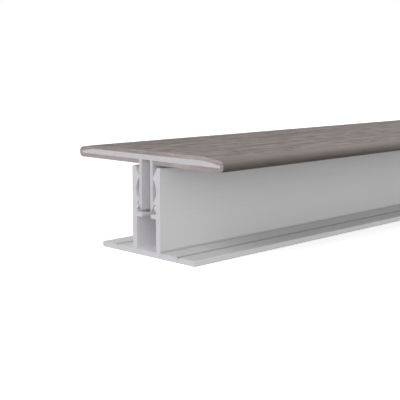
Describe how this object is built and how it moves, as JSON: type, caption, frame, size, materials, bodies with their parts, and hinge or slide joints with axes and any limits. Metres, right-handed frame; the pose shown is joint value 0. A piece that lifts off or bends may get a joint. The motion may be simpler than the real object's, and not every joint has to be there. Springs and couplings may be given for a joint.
{
  "type": "composite h trim",
  "caption": "Two-part H joint trim: an aluminium rail with a snap channel, and a cover strip of wood-grained composite round an aluminium insert with hooked legs.",
  "frame": {"origin": "middle of the flange's flat back, halfway along the trim", "axes": "+X across the trim, +Y along its length, +Z from the wall face out through the cover"},
  "size_m": [0.065, 2.5, 0.0327],
  "materials": {
    "rail_aluminium": "mill finish, satin, with fine extrusion lines along its length",
    "insert_aluminium": "mill finish, satin, with fine extrusion lines along its length",
    "composite_skin": "grey-brown wood-plastic composite with a fine wood grain along its length"
  },
  "bodies": {
    "root": {"base_rail": "rail_aluminium", "cover_insert": "insert_aluminium", "cover_skin": "composite_skin"}
  },
  "joints": []
}
